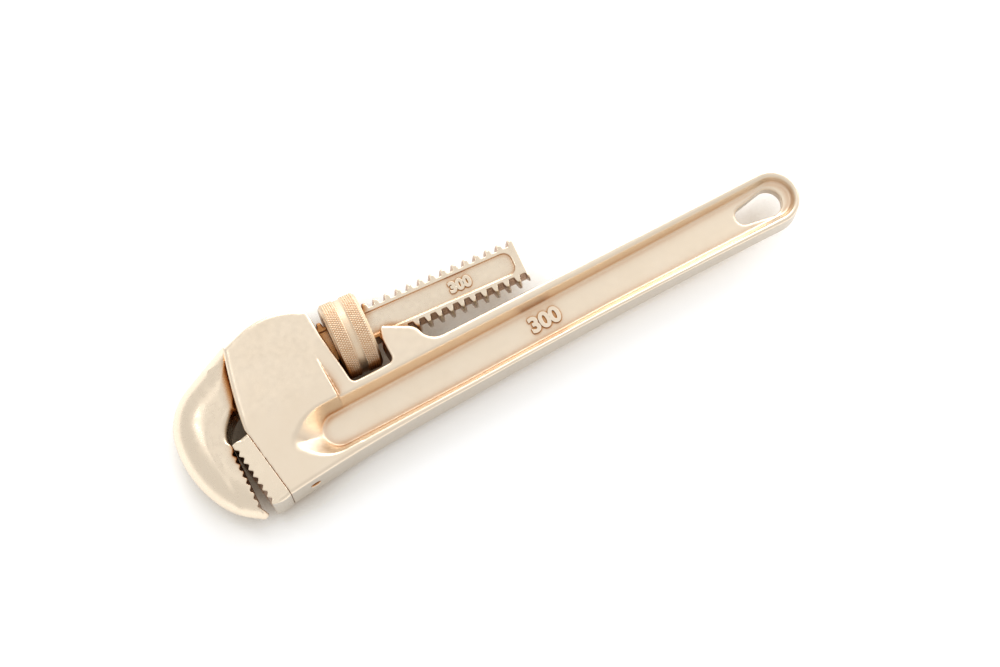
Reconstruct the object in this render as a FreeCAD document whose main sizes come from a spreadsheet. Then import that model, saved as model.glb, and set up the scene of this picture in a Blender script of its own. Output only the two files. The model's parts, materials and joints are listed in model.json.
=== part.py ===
import FreeCAD, Part
import math
import os
import re
from collections import namedtuple

import Sketcher

# Pipe wrench of 300 mm class, lying flat. +X runs along the handle to the hanging end,
# +Y towards the threaded shank and +Z out of the upper face. All lengths are millimetres.
# The handle's drawing starts at the lower left corner of the nut window, on the mid-plane.
# The jaw's drawing starts at the middle of the nut's left face and is turned by jaw_slant.

SIZES = {
    # Placing: the drawing's offset from the middle of the closed wrench, and its lowest point.
    "middle_x": 62.46,
    "middle_y": 4.66,
    # Head and handle.
    "head_thickness": 20.0,
    "housing_thickness": 28.0,
    "taper_start_x": -5.0,
    # How far a cutting sketch reaches past the metal.
    "cut_margin": 5.0,
    "cut_reach": 15.0,
    "handle_end_thickness": 12.5,
    "shoulder_slope_top_y": 2.0,
    "shoulder_slope_foot_y": -27.0,
    "web_thickness": 6.0,
    "web_draft": 20.0,
    # Slot, spring pocket and heel seat inside the head.
    "slot_clearance": 0.3,
    "slot_flare_up": 2.2,
    "slot_flare_down": 0.2,
    "trough_flare": 1.8,
    "slot_left": -52.0,
    "trough_right": 42.0,
    "spring_pocket_left": -33.0,
    "spring_pocket_right": -6.0,
    "spring_pocket_roof": 13.3,
    "coil_pocket_roof": 15.4,
    "coil_pocket_half": 2.7,
    "tongue_thickness": 6.0,
    "tongue_clearance": 0.1,
    "tongue_right_x": -27.5,
    "tongue_top_y": -6.0,
    "tongue_foot_y": -23.0,
    "tongue_gap": 0.05,
    "pin_x": -31.5,
    "pin_radius": 2.0,
    "pin_top_y": -3.0,
    "pin_length": 24.0,
    "pin_recess": 1.0,
    "pin_ease": 0.02,
    # Hook jaw.
    "jaw_slant": 4.1,
    "jaw_start_x": 0.9,
    "jaw_start_y": 20.55,
    "hook_thickness": 19.0,
    "hook_round": 3.0,
    "hook_rim_limit_x": -52.8,
    "hook_mouth_limit_x": -56.0,
    "shank_thickness": 11.0,
    "shank_left": -50.0,
    "shank_end": 84.5,
    "panel_depth": 1.0,
    "panel_half_width": 4.9,
    "panel_left": -20.0,
    "panel_right": 80.6,
    "panel_corner": 3.5,
    "corner_bend": 0.293,
    # Screw thread shared by the shank and the nut.
    "thread_pitch": 5.0,
    "thread_radius": 10.2,
    "root_half_width": 5.6,
    "gap_root_half": 0.85,
    "flank_slope": 0.268,
    "tooth_lean": 0.095,
    "first_gap_x": -5.0,
    "gap_count": 18,
    "rack_overcut": 0.6,
    # Jaw teeth.
    "tooth_pitch": 3.2,
    "tooth_depth": 1.4,
    "tooth_floor_start": 0.42,
    "tooth_floor_end": 0.58,
    "tooth_overlap": 0.2,
    "tooth_overcut": 0.6,
    "tooth_count": 8,
    # Adjusting nut.
    "nut_radius": 16.25,
    "nut_length": 16.0,
    "nut_chamfer": 0.9,
    "nut_bore_radius": 8.15,
    "nut_groove_radius": 10.45,
    "nut_ridge_half": 0.65,
    "thread_overcut": 0.2,
    "thread_run": 31.0,
    "band_groove_half": 1.0,
    "band_groove_depth": 0.7,
    # Springs.
    "leaf_left": -31.0,
    "leaf_right": -8.0,
    "leaf_bottom": 10.5,
    "leaf_thickness": 0.7,
    "leaf_width": 9.0,
    "leaf_lift": 0.6,
    "leaf_bend": 2.0,
    "coil_x": -24.0,
    "coil_radius": 1.75,
    "coil_wire": 0.3,
    "coil_pitch": 1.0,
    "coil_slack": 0.05,
    "rivet_radius": 0.7,
    "rivet_head_radius": 1.25,
    "rivet_head_height": 0.6,
}

POINTS = {
    # Handle and head outline, anticlockwise from the foot of the heel seat.
    "seat_foot": (-42.3, -28.9),
    "belly": (-5.0, -26.0),
    "grip_start_low": (41.0, -24.5),
    "grip_waist_low": (106.0, -23.4),
    "grip_end_low": (187.6, -24.2),
    "handle_tip": (199.5, -12.35),
    "grip_end_high": (187.6, -0.5),
    "grip_start_high": (42.0, 0.6),
    "saddle_hollow": (37.0, 2.0),
    "saddle_outer": (34.2, 5.6),
    "saddle_round": (33.2, 8.0),
    "saddle_lip": (30.8, 10.2),
    "saddle_ear": (21.9, 14.9),
    "saddle_ear_bend": (20.8, 15.05),
    "saddle_ear_side": (19.95, 14.35),
    "window_right_top": (18.7, 10.7),
    "window_right_low": (18.8, 2.5),
    "window_right_bend": (18.07, 0.73),
    "window_right_foot": (16.3, 0.0),
    "window_left_foot": (2.1, 0.0),
    "window_left_bend": (0.62, 0.56),
    "window_left_low": (-0.11, 2.0),
    "window_left_top": (-2.4, 23.3),
    "housing_corner": (-3.0, 34.0),
    "housing_shoulder": (-6.3, 36.3),
    "housing_top": (-18.2, 39.9),
    "housing_crown": (-30.2, 38.8),
    "housing_left_top": (-39.4, 35.9),
    "housing_left": (-44.4, 16.6),
    "housing_left_foot": (-47.2, 0.5),
    "seat_top": (-46.5, 0.3),
    # Raised housing face, where it leaves the head outline.
    "face_right_top": (-3.2, 33.0),
    "face_right_high": (-7.3, 24.0),
    "face_right_low": (-7.2, -3.0),
    "face_foot": (-43.05, -23.0),
    # Sunk panel between the flanges, at the web.
    "web_left_top": (-15.0, -5.4),
    "web_left_tip": (-22.5, -12.9),
    "web_left_foot": (-15.0, -20.4),
    "web_right_foot": (186.5, -20.4),
    "web_right_tip": (194.1, -12.6),
    "web_right_top": (186.5, -4.7),
    # Hanging hole.
    "hole_near_foot": (174.5, -16.8),
    "hole_far_foot": (186.0, -18.85),
    "hole_far_tip": (191.9, -12.8),
    "hole_far_top": (186.0, -6.75),
    "hole_near_top": (174.5, -8.9),
    "hole_near_tip": (171.1, -12.85),
    # Heel jaw.
    "heel_foot_corner": (-48.4, -29.6),
    "heel_foot": (-50.6, -29.0),
    "heel_top": (-53.5, -1.1),
    "heel_top_right": (-47.2, 0.3),
    "heel_teeth_top": (-53.3, -3.04),
    # Hook, in the jaw's drawing, clockwise from the top of the neck.
    "neck_top": (-45.3, 15.1),
    "crown": (-61.0, 6.7),
    "brow": (-70.45, -2.12),
    "back": (-74.2, -14.5),
    "belly_back": (-73.2, -27.9),
    "cheek": (-68.6, -40.5),
    "chin": (-62.7, -48.7),
    "tip_back": (-54.5, -54.6),
    "tip": (-52.2, -55.0),
    "beak": (-51.2, -53.5),
    "hook_teeth_foot": (-52.81, -52.06),
    "hook_teeth_top": (-53.85, -26.47),
    "throat_foot": (-53.95, -22.3),
    "throat": (-51.3, -16.4),
    "neck_foot": (-46.9, -12.2),
    "neck_right_foot": (-46.2, -12.2),
    "neck_right_top": (-42.6, 12.2),
}

Arc = namedtuple("Arc", "through end")

document = FreeCAD.newDocument("PipeWrench")
sheet = document.addObject("Spreadsheet::Sheet", "Sizes")


def fill_sheet():
    """Write every driving size and outline point into the sheet under its own alias."""
    cells = dict(SIZES)
    for name, (x, y) in POINTS.items():
        cells[name + "_x"] = x
        cells[name + "_y"] = y
    for row, (name, value) in enumerate(cells.items(), start=1):
        sheet.set(f"A{row}", name)
        sheet.set(f"B{row}", str(value))
        sheet.setAlias(f"B{row}", name)
    document.recompute()
    return set(cells)


ALIASES = fill_sheet()


def bound(text):
    """Turn a formula in size names into an expression that reads the sheet."""
    return re.sub(r"[a-z_]+", lambda word: f"Sizes.{word[0]}" if word[0] in ALIASES else word[0], text)


def size(text):
    """The present value of a formula in size names."""
    return float(sheet.evalExpression(bound(text)))


def xy(point):
    """The two formulas of a point given by its name or as a pair of formulas."""
    if isinstance(point, str):
        return f"{point}_x", f"{point}_y"
    return point


def vector(point):
    x, y = xy(point)
    return FreeCAD.Vector(size(x), size(y), 0)


def fix_point(sketch, geometry, end, point):
    """Tie one end of a sketch line to a point of the sheet."""
    for kind, formula in zip(("DistanceX", "DistanceY"), xy(point)):
        index = sketch.addConstraint(Sketcher.Constraint(kind, -1, 1, geometry, end, size(formula)))
        sketch.setExpression(f"Constraints[{index}]", bound(formula))


def draw_outline(sketch, start, *sides):
    """Draw a closed outline: each side ends at a point, or is an Arc through one point to another."""
    here = start
    last = sides[-1].end if isinstance(sides[-1], Arc) else sides[-1]
    closing = () if last == start else (start,)
    for side in sides + closing:
        there = side.end if isinstance(side, Arc) else side
        if isinstance(side, Arc):
            curve = Part.Arc(vector(here), vector(side.through), vector(there))
        else:
            curve = Part.LineSegment(vector(here), vector(there))
        geometry = sketch.addGeometry(curve, False)
        first = 1 if sketch.getPoint(geometry, 1).isEqual(vector(here), 1e-6) else 2
        fix_point(sketch, geometry, first, here)
        fix_point(sketch, geometry, 3 - first, there)
        if isinstance(side, Arc):
            mark = sketch.addGeometry(Part.Point(vector(side.through)), True)
            fix_point(sketch, mark, 1, side.through)
            sketch.addConstraint(Sketcher.Constraint("PointOnObject", mark, 1, geometry))
        here = there


def draw_circle(sketch, centre, radius):
    circle = Part.Circle(vector(centre), FreeCAD.Vector(0, 0, 1), size(radius))
    geometry = sketch.addGeometry(circle, False)
    fix_point(sketch, geometry, 3, centre)
    index = sketch.addConstraint(Sketcher.Constraint("Radius", geometry, size(radius)))
    sketch.setExpression(f"Constraints[{index}]", bound(radius))


def placement(x, y, z, turn):
    """A placement expression: a shift, and a turn in degrees about Z."""
    shift = f"create(<<vector>>; {bound(x)}; {bound(y)}; {bound(z)})"
    spin = f"create(<<rotation>>; create(<<vector>>; 0; 0; 1); {bound(turn)})"
    return f"create(<<placement>>; {shift}; {spin})"


HANDLE_PLACE = placement("-middle_x", "-middle_y", "nut_radius", "0")
JAW_PLACE = placement("jaw_start_x - middle_x", "jaw_start_y - middle_y", "nut_radius", "-jaw_slant")
JAW_IN_HANDLE = placement("jaw_start_x", "jaw_start_y", "0", "-jaw_slant")


def new_body(label, place):
    body = document.addObject("PartDesign::Body", label)
    body.Label = label
    body.setExpression("Placement", place)
    return body


def new_sketch(body, name, plane="XY_Plane", offset=None):
    """A sketch on one of the body's own origin planes, moved by a placement expression."""
    support = next(item for item in body.Origin.OriginFeatures if item.Role == plane)
    sketch = body.newObject("Sketcher::SketchObject", name)
    sketch.AttachmentSupport = [(support, "")]
    sketch.MapMode = "FlatFace"
    if offset:
        sketch.setExpression("AttachmentOffset", offset)
    return sketch


def pad(body, sketch, length, symmetric=True):
    feature = body.newObject("PartDesign::Pad", sketch.Name + "Pad")
    feature.Profile = sketch
    if symmetric:
        feature.SideType = "Symmetric"
    feature.setExpression("Length", bound(length))
    document.recompute()
    return feature


def pocket(body, sketch, length=None, symmetric=True, reverse=False):
    """Cut a sketch through the body, or by a length, and make sure that it removed something."""
    before = body.Shape.Volume
    feature = body.newObject("PartDesign::Pocket", sketch.Name + "Pocket")
    feature.Profile = sketch
    feature.Reversed = reverse
    if symmetric:
        feature.SideType = "Symmetric"
    if length is None:
        feature.Type = "ThroughAll"
    else:
        feature.setExpression("Length", bound(length))
    document.recompute()
    if body.Shape.Volume > before - 0.01:
        raise RuntimeError(f"{feature.Name} removed nothing")
    return feature


def repeat(body, features, sketch, axis, pitch, count):
    """Repeat features along an axis of a sketch."""
    pattern = body.newObject("PartDesign::LinearPattern", features[0].Name + "Row")
    pattern.Originals = features
    pattern.Direction = (sketch, [axis])
    pattern.setExpression("Length", bound(f"{pitch} * ({count} - 1)"))
    pattern.setExpression("Occurrences", bound(count))
    body.Tip = pattern
    document.recompute()
    return pattern


def round_edges(body, radius, keep):
    """Fillet the edges of the body's present shape that keep() chooses."""
    base = body.Tip
    edges = [f"Edge{i}" for i, edge in enumerate(base.Shape.Edges, start=1) if keep(edge)]
    feature = body.newObject("PartDesign::Fillet", f"{body.Name}Round")
    feature.Base = (base, edges)
    feature.setExpression("Radius", bound(radius))
    document.recompute()
    return feature


def middle(edge):
    return edge.valueAt(0.5 * (edge.FirstParameter + edge.LastParameter))


def shoulder_cut(body):
    """Slope both faces of the housing down to the head's own thickness at the heel."""
    for side in ("", "-"):
        sketch = new_sketch(body, f"{body.Name}Slope{'Up' if side == '' else 'Down'}", "YZ_Plane")
        top = ("shoulder_slope_top_y", f"{side}housing_thickness / 2")
        foot = ("shoulder_slope_foot_y", f"{side}head_thickness / 2")
        below = ("shoulder_slope_foot_y - cut_reach", f"{side}head_thickness / 2")
        clear = ("shoulder_slope_foot_y - cut_reach", f"{side}(housing_thickness / 2 + cut_margin)")
        over = ("shoulder_slope_top_y", f"{side}(housing_thickness / 2 + cut_margin)")
        draw_outline(sketch, top, foot, below, clear, over)
        pocket(body, sketch)


def make_handle():
    """Cast handle with its housing, nut window, saddle, flanges and hanging hole."""
    body = new_body("handle", HANDLE_PLACE)
    outline = new_sketch(body, "HeadAndGrip")
    draw_outline(
        outline, "seat_foot", Arc("belly", "grip_start_low"), Arc("grip_waist_low", "grip_end_low"),
        Arc("handle_tip", "grip_end_high"), "grip_start_high", Arc("saddle_hollow", "saddle_outer"),
        Arc("saddle_round", "saddle_lip"), "saddle_ear", Arc("saddle_ear_bend", "saddle_ear_side"),
        "window_right_top", "window_right_low", Arc("window_right_bend", "window_right_foot"),
        "window_left_foot", Arc("window_left_bend", "window_left_low"), "window_left_top",
        "housing_corner", "housing_shoulder", Arc("housing_top", "housing_crown"), "housing_left_top",
        Arc("housing_left", "housing_left_foot"), "seat_top",
    )
    pad(body, outline, "head_thickness")
    face = new_sketch(body, "HousingFace")
    draw_outline(
        face, "face_foot", "face_right_low", "face_right_high", "face_right_top", "housing_corner",
        "housing_shoulder", Arc("housing_top", "housing_crown"), "housing_left_top",
        Arc("housing_left", "housing_left_foot"), "seat_top",
    )
    pad(body, face, "housing_thickness")
    shoulder_cut(body)
    taper_handle(body)
    sink_panels(body)
    cut_inside(body)
    return body


def taper_handle(body):
    """Thin both faces of the handle evenly towards its end."""
    for name, side in (("TaperUp", ""), ("TaperDown", "-")):
        sketch = new_sketch(body, name, "XZ_Plane")
        start = ("taper_start_x", f"{side}head_thickness / 2")
        end = ("handle_tip_x + cut_margin", f"{side}handle_end_thickness / 2")
        above_end = ("handle_tip_x + cut_margin", f"{side}housing_thickness / 2")
        above_start = ("taper_start_x", f"{side}housing_thickness / 2")
        draw_outline(sketch, start, end, above_end, above_start)
        pocket(body, sketch)


def sink_panels(body):
    """Sink the panel between the flanges on both faces, and open the hanging hole."""
    for name, side in (("PanelUp", 1), ("PanelDown", -1)):
        height = "web_thickness / 2" if side > 0 else "-web_thickness / 2"
        sketch = new_sketch(body, name, offset=placement("0", "0", height, "0"))
        draw_outline(
            sketch, "web_left_top", Arc("web_left_tip", "web_left_foot"), "web_right_foot",
            Arc("web_right_tip", "web_right_top"),
        )
        cut = pocket(body, sketch, "head_thickness", symmetric=False, reverse=side > 0)
        cut.setExpression("TaperAngle", bound("web_draft"))
    hole = new_sketch(body, "HangingHole")
    draw_outline(
        hole, "hole_near_foot", "hole_far_foot", Arc("hole_far_tip", "hole_far_top"), "hole_near_top",
        Arc("hole_near_tip", "hole_near_foot"),
    )
    pocket(body, hole)


def cut_inside(body):
    """Cut the shank's slot, the spring pockets, the heel jaw's mortise and its pin hole."""
    top = "thread_radius + slot_clearance"
    slot = new_sketch(body, "ShankSlot", offset=JAW_IN_HANDLE)
    draw_outline(
        slot, ("0", f"-({top})"), ("trough_right", f"-({top} + trough_flare)"),
        ("trough_right", f"{top} + trough_flare"), ("0", top),
        ("slot_left", f"{top} + slot_flare_up"), ("slot_left", f"-({top} + slot_flare_down)"),
    )
    pocket(body, slot, "shank_thickness + 2 * slot_clearance")
    room = new_sketch(body, "SpringRoom", offset=JAW_IN_HANDLE)
    left, right = "spring_pocket_left", "spring_pocket_right"
    draw_outline(
        room, (left, "0"), (right, "0"), (right, "spring_pocket_roof"), (left, "spring_pocket_roof"),
    )
    pocket(body, room, "shank_thickness + 2 * slot_clearance")
    seat = new_sketch(body, "CoilSeat", offset=JAW_IN_HANDLE)
    left, right = "coil_x - coil_pocket_half", "coil_x + coil_pocket_half"
    draw_outline(seat, (left, "0"), (right, "0"), (right, "coil_pocket_roof"), (left, "coil_pocket_roof"))
    pocket(body, seat, "2 * coil_pocket_half")
    mortise = new_sketch(body, "Mortise")
    right, foot, roof = "tongue_right_x + tongue_clearance", "tongue_foot_y", "tongue_top_y"
    left = "seat_top_x - cut_margin"
    draw_outline(mortise, (left, foot), (right, foot), (right, roof), (left, roof))
    pocket(body, mortise, "tongue_thickness + tongue_clearance")
    drill_for_pin(body)


def drill_for_pin(body):
    """Drill the heel jaw pin's hole up from the lower edge."""
    offset = placement("0", "0", "-pin_top_y", "0")
    sketch = new_sketch(body, "PinHole", "XZ_Plane", offset)
    draw_circle(sketch, ("pin_x", "0"), "pin_radius")
    pocket(body, sketch, "pin_length + cut_reach", symmetric=False, reverse=True)


def cut_teeth(body, name, top, foot, away):
    """Cut a row of V notches down a jaw's edge, from its top point towards its foot."""
    run = (size(f"{foot}_x - {top}_x"), size(f"{foot}_y - {top}_y"))
    lean = math.degrees(math.atan2(run[0], -run[1]))
    offset = placement(f"{top}_x", f"{top}_y", "0", str(lean))
    sketch = new_sketch(body, name, offset=offset)
    depth = f"{away} * tooth_depth"
    clear = f"{away} * -tooth_overcut"
    draw_outline(
        sketch, (clear, "tooth_overlap"), (depth, "-tooth_floor_start * tooth_pitch"),
        (depth, "-tooth_floor_end * tooth_pitch"), (clear, "-tooth_overlap - tooth_pitch"),
    )
    notch = pocket(body, sketch)
    row = repeat(body, [notch], sketch, "V_Axis", "tooth_pitch", "tooth_count")
    row.Reversed = True
    document.recompute()


def make_heel_jaw():
    """Toothed heel jaw with the tongue that the pin holds."""
    body = new_body("heel_jaw", HANDLE_PLACE)
    outline = new_sketch(body, "HeelOutline")
    draw_outline(
        outline, "seat_foot", "seat_top", "heel_top_right", "heel_top", "heel_foot",
        Arc("heel_foot_corner", "seat_foot"),
    )
    pad(body, outline, "housing_thickness")
    shoulder_cut(body)
    cut_teeth(body, "HeelNotch", "heel_teeth_top", "heel_foot", 1)
    tongue = new_sketch(body, "Tongue")
    right, foot, roof = "tongue_right_x", "tongue_foot_y + tongue_gap", "tongue_top_y - tongue_gap"
    draw_outline(
        tongue, ("seat_top_x", foot), (right, foot), (right, roof), ("seat_top_x", roof),
    )
    pad(body, tongue, "tongue_thickness")
    drill_for_pin(body)
    return body


def make_heel_jaw_pin():
    """Pin driven up from the lower edge through the heel jaw's tongue."""
    pin = document.addObject("Part::Cylinder", "heel_jaw_pin")
    pin.Label = "heel_jaw_pin"
    pin.setExpression("Radius", bound("pin_radius - pin_ease"))
    pin.setExpression("Height", bound("pin_length - pin_recess"))
    pin.setExpression("Placement.Base.x", bound("pin_x - middle_x"))
    pin.setExpression("Placement.Base.y", bound("pin_top_y - middle_y"))
    pin.setExpression("Placement.Base.z", bound("nut_radius"))
    pin.Placement.Rotation = FreeCAD.Rotation(FreeCAD.Vector(1, 0, 0), 90)
    return pin


def cut_rack(body, name, side, first_x):
    """Cut one edge of the shank with a row of leaning gaps that follow the nut's thread."""
    sketch = new_sketch(body, name)
    root, out = f"{side} * root_half_width", f"{side} * (thread_radius + rack_overcut)"
    wide = "gap_root_half + flank_slope * (thread_radius + rack_overcut - root_half_width)"
    draw_outline(
        sketch, (f"{first_x} - gap_root_half", root), (f"{first_x} + gap_root_half", root),
        (f"{first_x} + {wide}", out), (f"{first_x} - ({wide})", out),
    )
    gap = pocket(body, sketch, "shank_thickness + cut_margin")
    gap.UseCustomVector = True
    gap.Direction = FreeCAD.Vector(side * size("tooth_lean"), 0, 1)
    repeat(body, [gap], sketch, "H_Axis", "thread_pitch", "gap_count")


def make_hook_jaw():
    """Hook jaw: toothed hook and the shank with a thread cut in both its edges."""
    body = new_body("hook_jaw", JAW_PLACE)
    head = new_sketch(body, "HookOutline")
    draw_outline(
        head, "neck_right_top", "neck_top", "crown", Arc("brow", "back"), Arc("belly_back", "cheek"),
        Arc("chin", "tip_back"), Arc("tip", "beak"), "hook_teeth_foot", "hook_teeth_top", "throat_foot",
        Arc("throat", "neck_foot"), "neck_right_foot",
    )
    pad(body, head, "hook_thickness")
    round_edges(body, "hook_round", is_hook_rim)
    shank = new_sketch(body, "ShankSection", "YZ_Plane", placement("0", "0", "shank_left", "0"))
    flat, corner = "shank_thickness / 2", "sqrt(thread_radius ^ 2 - (shank_thickness / 2) ^ 2)"
    draw_outline(
        shank, (corner, flat), (f"-{corner}", flat), Arc(("-thread_radius", "0"), (f"-{corner}", f"-{flat}")),
        (corner, f"-{flat}"), Arc(("thread_radius", "0"), (corner, flat)),
    )
    pad(body, shank, "shank_end - shank_left", symmetric=False)
    sink_shank_panels(body)
    cut_rack(body, "UpperGap", 1, "first_gap_x")
    cut_rack(body, "LowerGap", -1, "(first_gap_x + thread_pitch / 2)")
    cut_teeth(body, "HookNotch", "hook_teeth_top", "hook_teeth_foot", -1)
    return body


def is_hook_rim(edge):
    """True for the outer rim of both faces, from the neck round to the chin."""
    point = middle(edge)
    on_face = abs(abs(point.z) - size("hook_thickness / 2")) < 0.01
    limit = "hook_rim_limit_x" if point.y > size("throat_y") else "hook_mouth_limit_x"
    return on_face and point.x < size(limit)


def sink_shank_panels(body):
    """Sink a shallow panel between the racks on both faces of the shank."""
    for name, side in (("ShankPanelUp", 1), ("ShankPanelDown", -1)):
        height = "shank_thickness / 2 - panel_depth"
        height = height if side > 0 else f"-({height})"
        sketch = new_sketch(body, name, offset=placement("0", "0", height, "0"))
        half, left, right, corner = "panel_half_width", "panel_left", "panel_right", "panel_corner"
        bend = f"{corner} * corner_bend"
        draw_outline(
            sketch, (left, f"-{half}"), (f"{right} - {corner}", f"-{half}"),
            Arc((f"{right} - {bend}", f"-{half} + {bend}"), (right, f"-{half} + {corner}")),
            (right, f"{half} - {corner}"),
            Arc((f"{right} - {bend}", f"{half} - {bend}"), (f"{right} - {corner}", half)),
            (left, half),
        )
        pocket(body, sketch, "2 * panel_depth", symmetric=False, reverse=side > 0)


def make_adjusting_nut():
    """Adjusting nut with two grip bands and a coarse thread inside."""
    body = new_body("adjusting_nut", JAW_PLACE)
    outline = new_sketch(body, "NutSection")
    centre, rim = "nut_length / 2", "nut_radius"
    floor = "nut_radius - band_groove_depth"
    draw_outline(
        outline, ("0", "nut_bore_radius"), ("nut_length", "nut_bore_radius"),
        ("nut_length", f"{rim} - nut_chamfer"), ("nut_length - nut_chamfer", rim),
        (f"{centre} + band_groove_half", rim), (f"{centre} + band_groove_half", floor),
        (f"{centre} - band_groove_half", floor), (f"{centre} - band_groove_half", rim),
        ("nut_chamfer", rim), ("0", f"{rim} - nut_chamfer"),
    )
    turned = body.newObject("PartDesign::Revolution", "NutTurned")
    turned.Profile = outline
    turned.ReferenceAxis = (outline, ["H_Axis"])
    turned.Angle = 360
    document.recompute()
    cut_nut_thread(body)
    return body


def cut_nut_thread(body):
    """Cut the nut's thread so that its ridges run in the gaps of the shank."""
    profile = new_sketch(body, "ThreadGroove")
    inner, outer = "(nut_bore_radius - thread_overcut)", "nut_groove_radius"
    start = "(first_gap_x - thread_pitch / 2)"
    wide = f"(thread_pitch / 2 - nut_ridge_half - flank_slope * ({inner} - nut_bore_radius))"
    narrow = "(thread_pitch / 2 - nut_ridge_half - flank_slope * (nut_groove_radius - nut_bore_radius))"
    draw_outline(
        profile, (f"{start} - {wide}", inner), (f"{start} + {wide}", inner),
        (f"{start} + {narrow}", outer), (f"{start} - {narrow}", outer),
    )
    before = body.Shape.Volume
    groove = body.newObject("PartDesign::SubtractiveHelix", "NutThread")
    groove.Profile = profile
    groove.ReferenceAxis = (profile, ["H_Axis"])
    groove.Mode = "pitch-height-angle"
    groove.setExpression("Pitch", bound("thread_pitch"))
    groove.setExpression("Height", bound("thread_run"))
    document.recompute()
    if body.Shape.Volume > before - 1:
        raise RuntimeError("the nut has no thread")


def make_flat_spring():
    """Leaf that rubs on the back of the shank, with its ends turned up."""
    body = new_body("flat_spring", JAW_PLACE)
    strip = new_sketch(body, "LeafSide")
    low, high = "leaf_bottom", "leaf_bottom + leaf_thickness"
    draw_outline(
        strip, ("leaf_left", f"{low} + leaf_lift"), ("leaf_left + leaf_bend", low),
        ("leaf_right - leaf_bend", low),
        ("leaf_right", f"{low} + leaf_lift"), ("leaf_right", f"{high} + leaf_lift"),
        ("leaf_right - leaf_bend", high), ("leaf_left + leaf_bend", high),
        ("leaf_left", f"{high} + leaf_lift"),
    )
    pad(body, strip, "leaf_width")
    hole = new_sketch(body, "RivetHole", "XZ_Plane")
    draw_circle(hole, ("coil_x", "0"), "rivet_radius")
    pocket(body, hole)
    return body


def make_spring_rivet():
    """Rivet that fixes the coil spring's seat to the leaf."""
    body = new_body("spring_rivet", JAW_PLACE)
    outline = new_sketch(body, "RivetSection")
    foot, neck = "leaf_bottom", "leaf_bottom + leaf_thickness"
    shaft, head = "coil_x + rivet_radius - pin_ease", "coil_x + rivet_head_radius"
    draw_outline(
        outline, ("coil_x", foot), (shaft, foot), (shaft, neck), (head, neck),
        (head, f"{neck} + rivet_head_height / 2"), ("coil_x", f"{neck} + rivet_head_height"),
    )
    turned = body.newObject("PartDesign::Revolution", "RivetTurned")
    turned.Profile = outline
    turned.ReferenceAxis = (outline, ["Edge6"])
    turned.Angle = 360
    document.recompute()
    return body


def make_coil_spring():
    """Coil spring that stands on the leaf and pushes on the housing's roof."""
    body = new_body("coil_spring", JAW_PLACE)
    wire = new_sketch(body, "CoilWire", offset=placement("coil_x", "0", "0", "0"))
    foot = "leaf_bottom + leaf_thickness + coil_wire"
    draw_circle(wire, ("coil_radius", foot), "coil_wire")
    coil = body.newObject("PartDesign::AdditiveHelix", "CoilTurns")
    coil.Profile = wire
    coil.ReferenceAxis = (wire, ["V_Axis"])
    coil.Mode = "pitch-height-angle"
    coil.setExpression("Pitch", bound("coil_pitch"))
    free_height = "coil_pocket_roof - leaf_bottom - leaf_thickness - 2 * coil_wire - coil_slack"
    coil.setExpression("Height", bound(free_height))
    document.recompute()
    return body


def check_document(pieces):
    """Stop if any object failed, or if a sub-part is not one valid solid."""
    for item in document.Objects:
        if {"Invalid", "Error"} & set(item.State):
            raise RuntimeError(f"{item.Name} failed: {item.State}")
    for piece in pieces:
        shape = piece.Shape
        if shape.isNull() or not shape.isValid() or len(shape.Solids) != 1:
            raise RuntimeError(f"{piece.Label} is not one valid solid")
        print(f"{piece.Label:15s} {shape.Volume / 1000:8.2f} cm3")


def main():
    pieces = [
        make_handle(), make_heel_jaw(), make_heel_jaw_pin(), make_hook_jaw(), make_adjusting_nut(),
        make_flat_spring(), make_spring_rivet(), make_coil_spring(),
    ]
    document.recompute()
    check_document(pieces)
    os.makedirs("parts", exist_ok=True)
    for piece in pieces:
        piece.Shape.exportStep(f"parts/{piece.Label}.step")


main()
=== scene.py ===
import json
import math

import bpy
import numpy as np
from mathutils import Matrix, Vector


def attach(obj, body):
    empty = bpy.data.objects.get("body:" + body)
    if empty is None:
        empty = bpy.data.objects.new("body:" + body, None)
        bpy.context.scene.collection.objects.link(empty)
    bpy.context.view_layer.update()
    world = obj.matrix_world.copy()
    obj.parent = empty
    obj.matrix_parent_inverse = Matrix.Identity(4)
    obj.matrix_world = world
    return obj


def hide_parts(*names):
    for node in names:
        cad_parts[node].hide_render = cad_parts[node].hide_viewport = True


# Pipe wrench in cast aluminium bronze, lying on a pale studio floor.
# The castings are shaped as distance fields in millimetres and turned into meshes in metres.
# The handle's drawing starts at the nut window's lower left corner on the mid-plane; the jaw's
# drawing starts at the middle of the nut's left face, with +X along the shank.

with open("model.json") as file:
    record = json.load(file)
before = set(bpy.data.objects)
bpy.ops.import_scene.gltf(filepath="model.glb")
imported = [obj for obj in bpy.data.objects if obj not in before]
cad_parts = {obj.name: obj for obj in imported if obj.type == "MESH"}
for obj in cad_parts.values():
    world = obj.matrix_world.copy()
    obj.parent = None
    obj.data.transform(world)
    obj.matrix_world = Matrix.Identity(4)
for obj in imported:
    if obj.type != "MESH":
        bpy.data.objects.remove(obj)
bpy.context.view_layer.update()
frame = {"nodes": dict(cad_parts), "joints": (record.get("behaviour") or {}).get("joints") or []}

MM = 0.001
NUT_RADIUS = 16.25
NUT_LENGTH = 16.0
THREAD_PITCH = 5.0
THREAD_FLANK = 0.268
JAW_START = (0.9, 20.55)
nut_joint = next(joint for joint in frame["joints"] if joint["name"] == "nut_spin")
JAW_ORIGIN = Vector(nut_joint["pos_m"])
JAW_TURN = math.atan2(nut_joint["axis"][1], nut_joint["axis"][0])
HANDLE_ORIGIN = JAW_ORIGIN - Vector((*JAW_START, 0)) * MM

# ---------------------------------------------------------------- outlines


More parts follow.
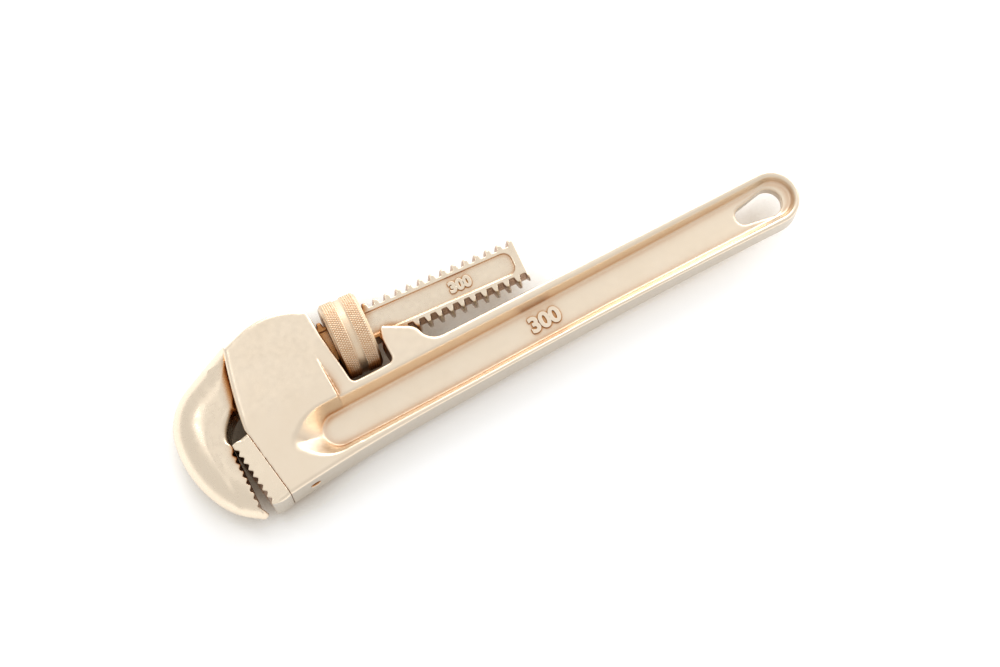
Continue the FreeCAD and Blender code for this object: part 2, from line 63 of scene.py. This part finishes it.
def arc_points(start, through, end, step=0.7):
    """Points along the circle from start through a middle point to end, without the start."""
    (ax, ay), (bx, by), (cx, cy) = start, through, end
    scale = 2 * (ax * (by - cy) + bx * (cy - ay) + cx * (ay - by))
    a2, b2, c2 = ax * ax + ay * ay, bx * bx + by * by, cx * cx + cy * cy
    ux = (a2 * (by - cy) + b2 * (cy - ay) + c2 * (ay - by)) / scale
    uy = (a2 * (cx - bx) + b2 * (ax - cx) + c2 * (bx - ax)) / scale
    radius = math.hypot(ax - ux, ay - uy)
    first = math.atan2(ay - uy, ax - ux)
    turn = (math.atan2(cy - uy, cx - ux) - first) % math.tau
    if (math.atan2(by - uy, bx - ux) - first) % math.tau > turn:
        turn -= math.tau
    count = max(3, round(abs(turn) * radius / step))
    angles = first + turn * np.arange(1, count + 1) / count
    return [(ux + radius * math.cos(a), uy + radius * math.sin(a)) for a in angles]


def outline(*steps):
    """A closed outline. A step is a point, or a pair of points for an arc through one to the other."""
    points = [steps[0]]
    for step in steps[1:]:
        if isinstance(step[0], tuple):
            points += arc_points(points[-1], *step)
        else:
            points.append(step)
    return points


TOOTH_PITCH = 3.2
TOOTH_DEPTH = 1.15
TOOTH_COUNT = 8


def tooth_row(top, foot, side):
    """Points down a jaw's edge with a row of notches, cut to the left (-1) or the right (1) of it."""
    top, foot = np.array(top), np.array(foot)
    along = (foot - top) / np.linalg.norm(foot - top)
    into = np.array((-along[1], along[0])) * side * TOOTH_DEPTH
    points = []
    for tooth in range(TOOTH_COUNT):
        start = top + along * TOOTH_PITCH * tooth
        for share, deep in ((0.05, 0), (0.42, 1), (0.58, 1), (0.95, 0)):
            points.append(tuple(start + along * TOOTH_PITCH * share + into * deep))
    return points


HEEL_TEETH_TOP = (-53.75, -3.04)
HEEL_TEETH_FOOT = (-50.6, -29.0)
HOOK_TEETH_TOP = (-53.2, -26.47)
HOOK_TEETH_FOOT = (-52.2, -52.06)
SEAM_FOOT = (-42.3, -28.9)
SEAM_TOP = (-46.5, 0.3)
SEAM_GAP = 0.025
HEAD = outline(
    HEEL_TEETH_FOOT, ((-48.4, -29.6), SEAM_FOOT), ((-5.0, -26.0), (41.0, -24.5)),
    ((106.0, -23.4), (187.6, -24.2)), ((199.5, -12.35), (187.6, -0.5)), (42.0, 0.6),
    ((37.0, 2.0), (34.2, 5.6)), ((33.2, 8.0), (30.8, 10.2)), (21.9, 14.9), ((20.8, 15.05), (19.95, 14.35)),
    (18.7, 10.7), (18.8, 2.5), ((18.07, 0.73), (16.3, 0.0)), (2.1, 0.0), ((0.62, 0.56), (-0.11, 2.0)),
    (-2.4, 23.3), (-3.0, 34.0), (-6.3, 36.3), ((-18.2, 39.9), (-30.2, 38.8)), (-39.4, 35.9),
    ((-44.4, 16.6), (-47.2, 0.5)), (-53.9, -1.1),
    *tooth_row(HEEL_TEETH_TOP, HEEL_TEETH_FOOT, 1),
)
WEB_HALF = 3.0
RECESS_RIM = outline(
    (-14.0, -3.0), ((-23.0, -4.4), (-29.0, -8.0)), ((-31.9, -12.2), (-29.4, -16.6)),
    ((-23.5, -21.3), (-14.0, -23.2)), (41.0, -22.8),
    (106.0, -21.9), (187.0, -22.4), ((197.7, -12.5), (187.0, -3.1)), (107.0, -3.2),
)
WEB = outline(
    (-14.0, -6.4), ((-19.6, -12.9), (-14.0, -20.0)), (41.0, -20.2), (106.0, -19.4), (187.0, -20.0),
    ((195.8, -12.5), (187.0, -5.2)), (107.0, -5.8),
)
HANGING_HOLE = outline(
    (174.5, -16.8), (186.0, -18.85), ((191.9, -12.8), (186.0, -6.75)), (174.5, -8.9),
    ((171.1, -12.85), (174.5, -16.8)),
)
HOOK_BACK = outline(
    (-36.0, 20.0), (-45.3, 15.1), (-61.0, 6.7), ((-70.45, -2.12), (-74.2, -14.5)),
    ((-73.2, -27.9), (-68.6, -40.5)), ((-62.7, -48.7), (-54.5, -54.7)), ((-51.6, -55.4), (-50.4, -54.0)),
    (-36.0, -53.5),
)
THROAT_TOP = (-46.9, -12.2)
THROAT_ARC = ((-51.3, -16.4), (-53.5, -22.3))
BITE = outline(THROAT_TOP, THROAT_ARC, HOOK_TEETH_FOOT)
HOOK_MOUTH = outline(
    (-90.0, 30.0), (-38.85, 30.0), (-41.25, 12.2), (-44.9, -12.2), THROAT_TOP, THROAT_ARC,
    *tooth_row(HOOK_TEETH_TOP, HOOK_TEETH_FOOT, -1), (-50.5, -54.0), (-50.4, -60.0), (-90.0, -60.0),
)
SHANK_SLOT = outline((0.0, -10.5), (42.0, -12.3), (42.0, 12.3), (0.0, 10.5), (-52.0, 12.7), (-52.0, -10.7))
SPRING_ROOM = outline((-33.0, 0.0), (-6.0, 0.0), (-6.0, 13.3), (-33.0, 13.3))
NECK_ROOM = outline(
    (-60.0, -13.6), (-43.5, -13.6), (-39.85, 12.2), (-36.9, 32.0), (-36.0, 40.0), (-60.0, 40.0),
)
COIL_SEAT = outline((-27.0, 0.0), (-20.8, 0.0), (-20.8, 16.45), (-27.0, 16.45))
HOUSING_ROOMS = ((SHANK_SLOT, 5.8), (SPRING_ROOM, 5.8), (COIL_SEAT, 2.85), (NECK_ROOM, 9.9))
PIN_HOLE_X = -31.5
PIN_HOLE_RADIUS = 2.05
PIN_HOLE_END = -3.0
SHANK_PANEL = outline(
    (-20.0, -4.9), (77.1, -4.9), ((79.6, -3.9), (80.6, -1.4)), (80.6, 1.4), ((79.6, 3.9), (77.1, 4.9)),
    (-20.0, 4.9),
)
PANEL_HALF = 4.5
HOOK_HALF = 9.5
HOOK_DOME = 13.0
SHANK_RADIUS = 10.2
SHANK_HALF = 5.5
SHANK_START = -50.0
SHANK_END = 84.5
RACK_CREST = 5.6
RACK_ROOT = 6.5
RACK_GAP = 0.85
RACK_LEAN = 0.095

# ---------------------------------------------------------------- fields


def round_max(a, b, radius):
    """Where two fields overlap, with the edge between them rounded to a radius."""
    width = 1.17 * radius
    reach = np.maximum(width - np.abs(a - b), 0) / width
    return np.maximum(a, b) + reach * reach * width / 4


def round_min(a, b, radius):
    """Two fields joined into one, with the corner between them filled to a radius."""
    return -round_max(-a, -b, radius)


def ease(low, high, value):
    """0 below low, 1 above high and a smooth S between."""
    share = np.clip((value - low) / (high - low), 0, 1)
    return share * share * (3 - 2 * share)


def line_distance(points, x, y):
    """Distance of every x, y to an open line through points."""
    nearest = np.full(np.broadcast(x, y).shape, np.inf)
    for (ax, ay), (bx, by) in zip(points, points[1:]):
        dx, dy = bx - ax, by - ay
        share = np.clip(((x - ax) * dx + (y - ay) * dy) / (dx * dx + dy * dy + 1e-12), 0, 1)
        nearest = np.minimum(nearest, (x - ax - share * dx) ** 2 + (y - ay - share * dy) ** 2)
    return np.sqrt(nearest)


def outline_distance(points, x, y):
    """Signed distance of every x, y to a closed outline, negative inside."""
    inside = np.zeros(np.broadcast(x, y).shape, bool)
    for (ax, ay), (bx, by) in zip(points, points[1:] + points[:1]):
        if ay != by:
            inside ^= ((ay > y) != (by > y)) & (x < ax + (y - ay) * (bx - ax) / (by - ay))
    return np.where(inside, -1, 1) * line_distance(points + points[:1], x, y)


def to_jaw(x, y):
    """The jaw's drawing coordinates of a point of the handle's drawing."""
    dx, dy = x - JAW_START[0], y - JAW_START[1]
    c, s = math.cos(JAW_TURN), math.sin(JAW_TURN)
    return dx * c + dy * s, dy * c - dx * s


def head_half_thickness(x, y):
    """Half thickness of the handle: it thins to its end, and the housing stands proud of it."""
    bar = 10.0 - 3.75 * np.clip((x + 5) / 209.5, 0, 1)
    housing = 14.0 - 4.0 * ease(-8, 30, -y)
    step = 1 - ease(-8.2, -7.0, x)
    corner = ease(-5, 19, y) * (1 - ease(0, 8, x))
    return bar + (housing - bar) * np.maximum(step, corner)


def right_of_seam(x, y):
    """Distance to the right of the line where the heel jaw meets the handle."""
    along = Vector(SEAM_TOP) - Vector(SEAM_FOOT)
    return ((x - SEAM_FOOT[0]) * along.y - (y - SEAM_FOOT[1]) * along.x) / along.length


def whole_head(x, y, z, half):
    """The handle and the heel jaw as one block with soft edges, sharp at the teeth and the window."""
    near_window = ease(-6, -3, x) * (1 - ease(22, 34, x)) * ease(-3, 0, y)
    near_teeth = 1 - ease(1.8, 4.5, x - HEEL_TEETH_TOP[0] + 0.12 * (y - HEEL_TEETH_TOP[1]))
    edge = 2.0 - 0.5 * ease(-10, 30, x) - 0.7 * near_window - 1.7 * near_teeth
    return round_max(outline_distance(HEAD, x, y), np.abs(z) - half, edge)


def handle_field(x, y, z):
    """The handle casting: both grip panels, the hanging hole and the rooms in the housing are cut out."""
    high = np.abs(z)
    half = head_half_thickness(x, y)
    body = whole_head(x, y, z, half)
    body = round_max(body, SEAM_GAP - right_of_seam(x, y), 0.1)
    foot = outline_distance(WEB, x, y)
    lean = (foot - outline_distance(RECESS_RIM, x, y)) / (half - WEB_HALF)
    wall = (foot - (high - WEB_HALF) * lean) / np.sqrt(1 + lean * lean)
    body = round_max(body, -round_max(wall, WEB_HALF - high, 0.6), 0.9)
    body = round_max(body, -outline_distance(HANGING_HOLE, x, y), 0.9)
    across, up = to_jaw(x, y)
    for room, reach in HOUSING_ROOMS:
        cut = round_max(outline_distance(room, across, up), high - reach, 0.6)
        body = round_max(body, -cut, 0.7)
    pin_hole = np.maximum(np.hypot(x - PIN_HOLE_X, z) - PIN_HOLE_RADIUS, y - PIN_HOLE_END)
    return round_max(body, -pin_hole, 0.4)


def heel_field(x, y, z):
    """The heel jaw, left of the seam, flat across its upper end."""
    body = whole_head(x, y, z, head_half_thickness(x, y))
    body = round_max(body, right_of_seam(x, y) + SEAM_GAP, 0.1)
    return np.maximum(body, y - 0.25)


def rack_gaps(x, y, z):
    """The leaning gaps along both edges of the shank, negative inside a gap."""
    gaps = np.full(np.broadcast(x, y, z).shape, np.inf)
    for side, first in ((1, -THREAD_PITCH), (-1, -THREAD_PITCH / 2)):
        along = x - first - side * RACK_LEAN * z
        count = np.clip(np.round(along / THREAD_PITCH), 0, 17)
        across = np.abs(along - THREAD_PITCH * count) - (RACK_GAP + THREAD_FLANK * (side * y - RACK_CREST))
        gaps = np.minimum(gaps, np.maximum(across * 0.966, RACK_ROOT - side * y))
    return gaps


def hook_field(x, y, z):
    """The hook jaw: a domed head with a slightly lower land beside the teeth, and the threaded shank."""
    high = np.abs(z)
    by_throat = ease(-20, -9, y)
    near = line_distance(BITE, x, y)
    land = 0.5 * (1 - by_throat) * (1 - ease(6.2, 9.2, near))
    dome = round_max(outline_distance(HOOK_BACK, x, y) - 0.6, high - HOOK_HALF + land, HOOK_DOME)
    edge = 0.35 + 3.0 * ease(-25.5, -20.5, y) * (1 - ease(-12, -4, y)) + 0.5 * ease(-12, -4, y)
    head = round_max(dome, outline_distance(HOOK_MOUTH, x, y), edge)
    shank = round_max(np.hypot(y, z) - SHANK_RADIUS, high - SHANK_HALF, 0.5)
    shank = round_max(round_max(shank, x - SHANK_END, 1.0), SHANK_START - x, 1.0)
    shank = round_max(shank, -rack_gaps(x, y, z), 0.3)
    panel = round_max(outline_distance(SHANK_PANEL, x, y), PANEL_HALF - high, 0.5)
    shank = round_max(shank, -panel, 0.35)
    return round_min(head, shank, 1.6)


# ---------------------------------------------------------------- meshes


def grid_axes(low, high, step):
    """The X, Y and Z places of a grid between two corners."""
    return [np.arange(a, b + s, s) for a, b, s in zip(low, high, step)]


def sample_field(field, axes):
    """The field on a grid, worked out in slices along X."""
    xs, ys, zs = axes
    parts = []
    for chunk in np.array_split(xs, max(1, len(xs) // 48)):
        x, y, z = chunk[:, None, None], ys[None, :, None], zs[None, None, :]
        parts.append(np.broadcast_to(field(x, y, z), (len(chunk), len(ys), len(zs))))
    return np.concatenate(parts).astype(np.float32)


def cell_crossings(values):
    """The mean place in each cell where the field changes sign, and which cells hold one."""
    shape = tuple(n - 1 for n in values.shape)
    total = np.zeros(shape + (3,), np.float32)
    count = np.zeros(shape, np.float32)
    inside = values < 0
    for axis in range(3):
        others = [a for a in range(3) if a != axis]
        for i in (0, 1):
            for j in (0, 1):
                near, far = [slice(None)] * 3, [slice(None)] * 3
                near[axis], far[axis] = slice(0, -1), slice(1, None)
                for a, k in zip(others, (i, j)):
                    near[a] = far[a] = slice(k, values.shape[a] - 1 + k)
                v0, v1 = values[tuple(near)], values[tuple(far)]
                crossed = inside[tuple(near)] != inside[tuple(far)]
                share = np.where(crossed, v0 / np.where(crossed, v0 - v1, 1), 0)
                total[..., axis] += share
                total[..., others[0]] += crossed * i
                total[..., others[1]] += crossed * j
                count += crossed
    return total / np.maximum(count, 1)[..., None], count > 0


def cell_quads(values, index):
    """A quad round every grid edge that the surface crosses, facing outwards."""
    inside = values < 0
    quads = []
    for axis in range(3):
        u, v = (axis + 1) % 3, (axis + 2) % 3
        near, far = [slice(1, -1)] * 3, [slice(1, -1)] * 3
        near[axis], far[axis] = slice(0, -1), slice(1, None)
        a, b = inside[tuple(near)], inside[tuple(far)]
        for wanted, outwards in ((a & ~b, True), (~a & b, False)):
            where = np.argwhere(wanted)
            where[:, u] += 1
            where[:, v] += 1
            ring = []
            for du, dv in ((-1, -1), (0, -1), (0, 0), (-1, 0)):
                cell = where.copy()
                cell[:, u] += du
                cell[:, v] += dv
                ring.append(index[tuple(cell.T)])
            quad = np.stack(ring, axis=1)
            quads.append(quad if outwards else quad[:, ::-1])
    return np.concatenate(quads)


def settle(points, field):
    """Move mesh points onto the field's zero surface along its slope."""
    for _ in range(3):
        slope = np.empty_like(points)
        here = field(*points.T)
        for axis in range(3):
            shifted = points.copy()
            shifted[:, axis] += 0.02
            slope[:, axis] = (field(*shifted.T) - here) / 0.02
        step = here / np.maximum((slope ** 2).sum(1), 0.25)
        points = points - np.clip(step, -0.25, 0.25)[:, None] * slope
    return points


def carve(name, field, low, high, step):
    """A mesh of a field's surface, in millimetres."""
    axes = grid_axes(low, high, step)
    values = sample_field(field, axes)
    offset, used = cell_crossings(values)
    index = np.full(used.shape, -1, np.int64)
    index[used] = np.arange(used.sum())
    cells = np.argwhere(used) + offset[used]
    points = np.array(low) + cells * np.array(step)
    points = settle(points, field)
    mesh = bpy.data.meshes.new(name)
    mesh.from_pydata(points.tolist(), [], cell_quads(values, index).tolist())
    return mesh


def place(name, mesh, matrix, body, slot, *nodes):
    """Put a mesh into the row frame as a smooth piece that rides on a body for some CAD nodes."""
    mesh.transform(matrix)
    mesh.shade_smooth()
    piece = bpy.data.objects.new(name, mesh)
    bpy.context.scene.collection.objects.link(piece)
    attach(piece, body)
    if nodes:
        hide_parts(*nodes)
    return piece


HANDLE_FRAME = Matrix.Translation(HANDLE_ORIGIN) @ Matrix.Scale(MM, 4)
JAW_FRAME = Matrix.Translation(JAW_ORIGIN) @ Matrix.Rotation(JAW_TURN, 4, "Z") @ Matrix.Scale(MM, 4)

# ---------------------------------------------------------------- nut

KNURL_PITCH = 0.9
KNURL_DEPTH = 0.32
KNURL_ANGLE = math.radians(30)
KNURL_BANDS = ((0.9, 6.5), (9.5, 15.1))
NUT_STEPS = 612
GROOVE_RADIUS = 15.75


def ridge(value):
    """0 in a groove and 1 on a crest of a row of V grooves one unit apart."""
    return np.abs((value % 1.0) - 0.5) * 2


def knurl(x, angle):
    """Height of the diamond knurl, 0 in its grooves, on the two grip bands."""
    starts = round(math.tau * NUT_RADIUS * math.cos(KNURL_ANGLE) / KNURL_PITCH)
    turn = angle / math.tau * starts
    slant = x * math.sin(KNURL_ANGLE) / KNURL_PITCH
    return np.minimum(np.minimum(1 - ridge(turn + slant), 1 - ridge(turn - slant)) * 2.0, 1.0)


def nut_bore(x, angle):
    """Radius of the threaded bore: a ridge where the shank has its gaps."""
    along = x + THREAD_PITCH - THREAD_PITCH * angle / math.tau
    across = np.abs((along / THREAD_PITCH + 0.5) % 1.0 - 0.5) * THREAD_PITCH
    return 8.15 + np.clip((across - 0.65) / THREAD_FLANK, 0, 2.3)


def turned(radius):
    """A plain turned row of the nut: one radius all the way round."""
    return np.full(NUT_STEPS, radius)


def nut_mesh():
    """One closed skin: the outside from left to right, then back through the bore."""
    angle = np.arange(NUT_STEPS) / NUT_STEPS * math.tau
    grip = np.concatenate([np.linspace(*band, 38) for band in KNURL_BANDS])
    fades = [np.minimum(ease(a, a + 0.35, grip), 1 - ease(b - 0.35, b, grip)) for a, b in KNURL_BANDS]
    rows = [(0.15, turned(15.2)), (0.9, turned(15.82))]
    for x, fade in zip(grip, np.maximum(*fades)):
        if abs(x - KNURL_BANDS[1][0]) < 1e-6:
            for groove_x in np.arange(6.7, 9.35, 0.1):
                rows.append((groove_x, turned(GROOVE_RADIUS + 0.045 * math.sin(groove_x * 5 * math.pi))))
        rows.append((x, NUT_RADIUS - KNURL_DEPTH * (1 - fade * knurl(x, angle))))
    rows += [(15.1, turned(15.82)), (15.85, turned(15.2)), (NUT_LENGTH, turned(14.9))]
    rows += [(NUT_LENGTH, nut_bore(NUT_LENGTH, angle) + 0.5)]
    rows += [(x, nut_bore(x, angle)) for x in np.linspace(NUT_LENGTH, 0.0, 48)]
    rows += [(0.0, nut_bore(0.0, angle) + 0.5), (0.0, turned(14.9))]
    points = np.concatenate([np.stack([turned(x), r * np.cos(angle), r * np.sin(angle)], 1) for x, r in rows])
    count = len(rows)
    row, col = np.meshgrid(np.arange(count), np.arange(NUT_STEPS), indexing="ij")
    next_row, next_col = (row + 1) % count, (col + 1) % NUT_STEPS
    corners = ((row, col), (next_row, col), (next_row, next_col), (row, next_col))
    quads = np.stack([(r * NUT_STEPS + c).ravel() for r, c in corners], 1)
    mesh = bpy.data.meshes.new("adjusting_nut")
    mesh.from_pydata(points.tolist(), [], quads.tolist())
    return mesh


# ---------------------------------------------------------------- raised numbers


def raised_number(name, height, thickness, matrix, body, slot):
    """A generic size number standing proud of a panel."""
    text = bpy.data.curves.new(name, "FONT")
    text.body = "300"
    text.align_x = text.align_y = "CENTER"
    text.size = height * 1.38
    text.extrude = thickness / 2
    text.bevel_depth = 0.15
    text.offset = 0.3
    holder = bpy.data.objects.new(name, text)
    mesh = bpy.data.meshes.new_from_object(holder)
    bpy.data.objects.remove(holder)
    return place(name, mesh, matrix @ Matrix.Translation((0, 0, thickness / 2)), body, slot)


# ---------------------------------------------------------------- materials


def new_material(name):
    """A material with its node tree and its main shader."""
    material = bpy.data.materials.new(name)
    material.use_nodes = True
    tree = material.node_tree
    return material, tree, tree.nodes["Principled BSDF"]


def node(tree, kind, **values):
    """A node with its inputs and properties set by name."""
    made = tree.nodes.new(kind)
    for key, value in values.items():
        if key in made.inputs:
            made.inputs[key].default_value = value
        else:
            setattr(made, key, value)
    return made


def noise(tree, scale, detail=4.0, roughness=0.55):
    """Noise in the piece's own coordinates, with a scale in features per metre."""
    coordinates = tree.nodes.get("Texture Coordinate") or tree.nodes.new("ShaderNodeTexCoord")
    made = node(tree, "ShaderNodeTexNoise", Scale=scale, Detail=detail, Roughness=roughness)
    tree.links.new(coordinates.outputs["Object"], made.inputs["Vector"])
    return made.outputs["Fac"]


def ramp(tree, source, *stops):
    """A colour ramp over a value, from (position, colour) stops."""
    made = tree.nodes.new("ShaderNodeValToRGB")
    band = made.color_ramp
    while len(band.elements) < len(stops):
        band.elements.new(0.5)
    for element, (position, colour) in zip(band.elements, stops):
        element.position = position
        element.color = (*colour, 1)
    tree.links.new(source, made.inputs["Fac"])
    return made.outputs["Color"]


def grey(value):
    """A colour without hue."""
    return (value, value, value)


def multiply(tree, first, second):
    """Two colours multiplied."""
    made = node(tree, "ShaderNodeMix", data_type="RGBA", blend_type="MULTIPLY")
    made.inputs["Factor"].default_value = 1.0
    colour_inputs = [socket for socket in made.inputs if socket.type == "RGBA"]
    tree.links.new(first, colour_inputs[0])
    tree.links.new(second, colour_inputs[1])
    return next(socket for socket in made.outputs if socket.type == "RGBA")


def bump(tree, shader, source, strength, distance):
    """Relief added on top of the shader's earlier relief."""
    made = node(tree, "ShaderNodeBump", Strength=strength, Distance=distance)
    tree.links.new(source, made.inputs["Height"])
    before = shader.inputs["Normal"].links
    if before:
        tree.links.new(before[0].from_socket, made.inputs["Normal"])
    tree.links.new(made.outputs["Normal"], shader.inputs["Normal"])


def cast_bronze(name, light, dark, roughness=0.36):
    """Satin cast aluminium bronze: fine sandy grain and soft patches, with painted shade that browns the
    hollow places and darkens and cools the side faces.
    """
    material, tree, shader = new_material(name)
    shader.inputs["Metallic"].default_value = 1.0
    colour = ramp(tree, noise(tree, 90, 5), (0.3, dark), (0.7, light))
    # Painted shade: an ambient-occlusion ramp darkens the bronze and turns it orange-brown in hollows, gaps
    # and at the feet of steps, where shade and warm bounce light fall.
    shade = node(tree, "ShaderNodeAmbientOcclusion", samples=8, Distance=0.005)
    painted_hollow_shade = ramp(
        tree, shade.outputs["AO"], (0.05, (0.16, 0.09, 0.05)), (0.35, (0.56, 0.30, 0.13)),
        (0.72, (0.64, 0.34, 0.14)), (0.9, grey(1)),
    )
    # Painted shade: faces that turn sideways, found from the height of their normal, are painted darker and
    # cooler than faces that look up.
    facing = node(tree, "ShaderNodeSeparateXYZ")
    tree.links.new(tree.nodes["Texture Coordinate"].outputs["Normal"], facing.inputs[0])
    flat = node(tree, "ShaderNodeMath", operation="ABSOLUTE")
    tree.links.new(facing.outputs["Z"], flat.inputs[0])
    painted_wall_shade = ramp(tree, flat.outputs[0], (0.12, (0.68, 0.71, 0.76)), (0.4, grey(1)))
    colour = multiply(tree, multiply(tree, colour, painted_hollow_shade), painted_wall_shade)
    tree.links.new(colour, shader.inputs["Base Color"])
    rough = ramp(tree, noise(tree, 420, 6), (0.3, grey(roughness - 0.05)), (0.7, grey(roughness + 0.07)))
    tree.links.new(rough, shader.inputs["Roughness"])
    bump(tree, shader, noise(tree, 2600, 3), 0.35, 0.00006)
    bump(tree, shader, noise(tree, 260, 4), 0.12, 0.00025)
    return material


def drawn_metal(name, colour, roughness):
    """Drawn wire or rod: faint patches in colour and roughness, and a very fine grain."""
    material, tree, shader = new_material(name)
    shader.inputs["Metallic"].default_value = 1.0
    patches = noise(tree, 700, 4)
    tint = ramp(tree, patches, (0.3, [c * 0.8 for c in colour]), (0.7, colour))
    tree.links.new(tint, shader.inputs["Base Color"])
    rough = ramp(tree, patches, (0.3, grey(roughness)), (0.7, grey(roughness + 0.12)))
    tree.links.new(rough, shader.inputs["Roughness"])
    bump(tree, shader, noise(tree, 3000, 2), 0.2, 0.00003)
    return material


def floor_material():
    """Pale and softly glowing, as an overlit sheet of paper, with painted shade that darkens it in the
    wrench's narrow gaps.
    """
    material, tree, shader = new_material("studio_floor")
    # Painted shade: an ambient-occlusion ramp darkens the floor and dims its glow in the wrench's gaps and
    # close under it, tinted brown as painted bounce light from the bronze.
    shade = node(tree, "ShaderNodeAmbientOcclusion", samples=8, Distance=0.02)
    colour = ramp(
        tree, shade.outputs["AO"], (0.15, (0.05, 0.035, 0.02)), (0.4, (0.42, 0.34, 0.26)),
        (0.58, (0.60, 0.58, 0.54)), (0.74, (0.86, 0.85, 0.82)), (0.9, grey(0.93)),
    )
    tree.links.new(colour, shader.inputs["Base Color"])
    tree.links.new(colour, shader.inputs["Emission Color"])
    shader.inputs["Roughness"].default_value = 0.7
    shader.inputs["Emission Strength"].default_value = 0.33
    return material


def paint(piece, material):
    """Give a piece one material in place of any it has."""
    piece.data.materials.clear()
    piece.data.materials.append(material)


# ---------------------------------------------------------------- stage, lights, camera

FLOOR_DROP = 0.2


def add_floor():
    """A pale level floor just under the nut, the lowest part of the lying wrench."""
    bpy.ops.mesh.primitive_plane_add(size=6)
    floor = bpy.context.object
    floor.name = "studio_floor"
    floor.location = HANDLE_ORIGIN - Vector((0, 0, NUT_RADIUS + FLOOR_DROP)) * MM
    paint(floor, floor_material())


def add_area(name, location, target, size, brightness):
    """A square soft box that faces a target, with the brightness of its own face."""
    light = bpy.data.lights.new(name, "AREA")
    light.shape = "SQUARE"
    light.size = size
    light.energy = brightness * math.pi * size * size
    lamp = bpy.data.objects.new(name, light)
    lamp.location = location
    lamp.rotation_mode = "QUATERNION"
    lamp.rotation_quaternion = (Vector(target) - Vector(location)).to_track_quat("-Z", "Y")
    bpy.context.scene.collection.objects.link(lamp)


def add_world(strength):
    """Even white light from all round."""
    world = bpy.data.worlds.new("studio")
    world.use_nodes = True
    background = world.node_tree.nodes["Background"]
    background.inputs["Color"].default_value = (1, 1, 1, 1)
    background.inputs["Strength"].default_value = strength
    bpy.context.scene.world = world


# The place on the handle's drawing that the camera faces, in millimetres, and the distance in metres.
AIM = Vector((62.77, -8.27, 0.0))
VIEW_TURN = math.radians(28.72)
VIEW_LIFT = math.radians(74.0)
VIEW_DISTANCE = 0.9
LENS = 79.7


def add_camera():
    """The camera stands over the wrench, turned so that the handle runs up to the right."""
    back = Vector((
        -math.sin(VIEW_TURN) * math.cos(VIEW_LIFT), -math.cos(VIEW_TURN) * math.cos(VIEW_LIFT),
        math.sin(VIEW_LIFT),
    ))
    right = Vector((math.cos(VIEW_TURN), -math.sin(VIEW_TURN), 0))
    data = bpy.data.cameras.new("camera")
    data.lens = LENS
    camera = bpy.data.objects.new("camera", data)
    turn = Matrix((right, back.cross(right), back)).transposed().to_4x4()
    camera.matrix_world = Matrix.Translation(HANDLE_FRAME @ AIM + back * VIEW_DISTANCE) @ turn
    bpy.context.scene.collection.objects.link(camera)
    bpy.context.scene.camera = camera


# ---------------------------------------------------------------- building


def build():
    """Make every piece, and paint the CAD pieces that stay."""
    bronze = cast_bronze("cast_bronze", (0.90, 0.77, 0.61), (0.88, 0.745, 0.58))
    jaw_bronze = cast_bronze("jaw_bronze", (0.90, 0.77, 0.605), (0.88, 0.745, 0.58), 0.28)
    nut_bronze = cast_bronze("nut_bronze", (0.92, 0.77, 0.58), (0.85, 0.70, 0.52), 0.48)
    spring = drawn_metal("spring_steel", (0.56, 0.55, 0.53), 0.25)
    pin = drawn_metal("pin_bronze", (0.55, 0.40, 0.26), 0.35)

    handle = carve("handle", handle_field, (-49, -32, -15), (202, 42, 15), (0.7, 0.55, 0.55))
    paint(place("handle_casting", handle, HANDLE_FRAME, "frame", "cast_bronze", "handle"), bronze)
    heel = carve("heel", heel_field, (-55, -31, -15), (-41, 2, 15), (0.3, 0.3, 0.3))
    paint(place("heel_jaw_insert", heel, HANDLE_FRAME, "frame", "jaw_bronze", "heel_jaw"), jaw_bronze)
    hook = carve("hook", hook_field, (-76, -57, -11), (86, 17, 11), (0.42, 0.42, 0.42))
    paint(place("hook_jaw_casting", hook, JAW_FRAME, "jaw", "jaw_bronze", "hook_jaw"), jaw_bronze)
    nut = place("knurled_nut", nut_mesh(), JAW_FRAME, "nut", "nut_bronze", "adjusting_nut")
    paint(nut, nut_bronze)

    for face, turn in (("front", 0.0), ("back", math.pi)):
        flip = Matrix.Rotation(turn, 4, "X")
        grip = HANDLE_FRAME @ Matrix.Translation((81, -13, 0)) @ flip @ Matrix.Translation((0, 0, 2.95))
        number = raised_number(f"handle_number_{face}", 6.6, 0.6, grip, "frame", "cast_bronze")
        paint(number, bronze)
        shank = JAW_FRAME @ Matrix.Translation((57, 0, 0)) @ flip @ Matrix.Translation((0, 0, 4.45))
        number = raised_number(f"shank_number_{face}", 4.6, 0.5, shank, "jaw", "jaw_bronze")
        paint(number, jaw_bronze)

    for name in ("flat_spring", "spring_rivet", "coil_spring"):
        paint(frame["nodes"][name], spring)
    paint(frame["nodes"]["heel_jaw_pin"], pin)


build()
add_floor()
add_world(0.79)
add_area("key", (0.5, 1.15, 0.6), (0, 0, 0), 0.8, 4.0)
add_area("side_card", (1.2, 0.5, 0.4), (0, 0, 0), 1.0, 2.4)
add_area("spark", (-0.48, 0.59, 1.34), (-0.12, 0, 0), 0.2, 5.5)
add_area("top_card", (-0.05, -0.25, 1.6), (0, 0, 0), 0.8, 0.22)
add_area("far_card", (0.45, 0.2, 0.9), (0.12, 0, 0), 0.5, 0.16)
add_camera()
bpy.context.scene.view_settings.view_transform = "Standard"
